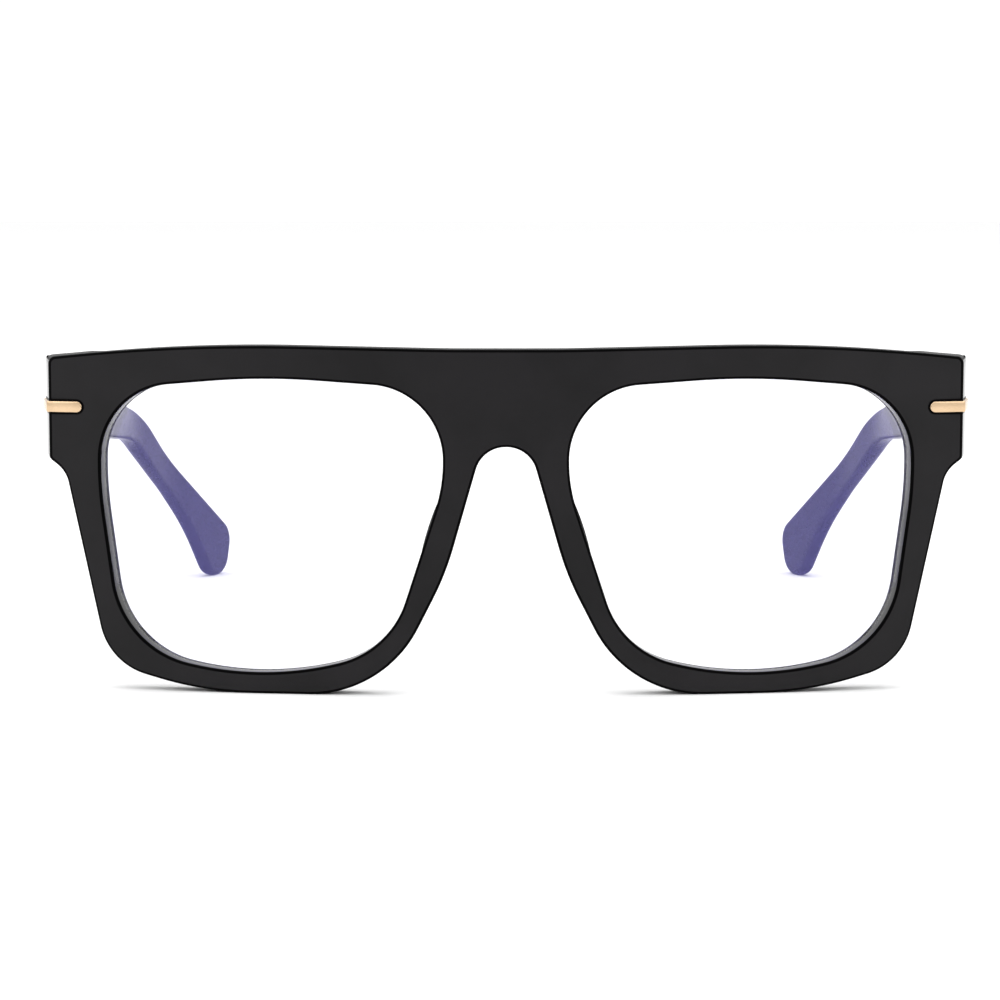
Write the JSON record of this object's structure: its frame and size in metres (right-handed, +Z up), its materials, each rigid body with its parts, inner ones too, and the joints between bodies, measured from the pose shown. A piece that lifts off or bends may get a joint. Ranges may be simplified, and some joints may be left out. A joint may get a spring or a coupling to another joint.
{
  "type": "blue light glasses",
  "caption": "Full-rim square acetate glasses with a flat brow, clear blue-light filter lenses, built-in nose pads and folding temples on barrel hinges.",
  "frame": {"origin": "centre of the box that the open glasses fill, on the surface they stand on", "axes": "+X to the wearer's left, +Y from the front back to the temple tips, +Z up; the wearer looks along -Y"},
  "size_m": [0.1492, 0.1466, 0.0551],
  "materials": {
    "acetate": "satin black acetate",
    "temple_acetate": "polished black acetate",
    "pad_acetate": "polished black acetate",
    "lens": "clear, blue-violet anti-reflection coating",
    "hinge_steel": "satin",
    "rivet_steel": "satin",
    "screw_steel": "polished",
    "core_steel": "satin",
    "gold": "polished pale gold plate"
  },
  "bodies": {
    "front": {"front_frame": "acetate", "lens_left": "lens", "lens_right": "lens", "nose_pad_left": "pad_acetate", "nose_pad_right": "pad_acetate", "hinge_front_left": "hinge_steel", "hinge_front_right": "hinge_steel", "front_rivets_left": "rivet_steel", "front_rivets_right": "rivet_steel", "accent_front_left": "gold", "accent_front_right": "gold", "hinge_screw_left": "screw_steel", "hinge_screw_right": "screw_steel"},
    "temple_l": {"temple_left": "temple_acetate", "core_wire_left": "core_steel", "hinge_temple_left": "hinge_steel", "temple_rivets_left": "rivet_steel", "accent_temple_left": "gold"},
    "temple_r": {"temple_right": "temple_acetate", "core_wire_right": "core_steel", "hinge_temple_right": "hinge_steel", "temple_rivets_right": "rivet_steel", "accent_temple_right": "gold"}
  },
  "joints": [
    {"name": "fold_left", "type": "hinge", "parent": "front", "child": "temple_l", "pos_m": [0.0678, -0.05738, 0.04504], "axis": [0, 0, 1], "range_deg": [0, 86]},
    {"name": "fold_right", "type": "hinge", "parent": "front", "child": "temple_r", "pos_m": [-0.0678, -0.05738, 0.04504], "axis": [0, 0, -1], "range_deg": [0, 76]}
  ]
}
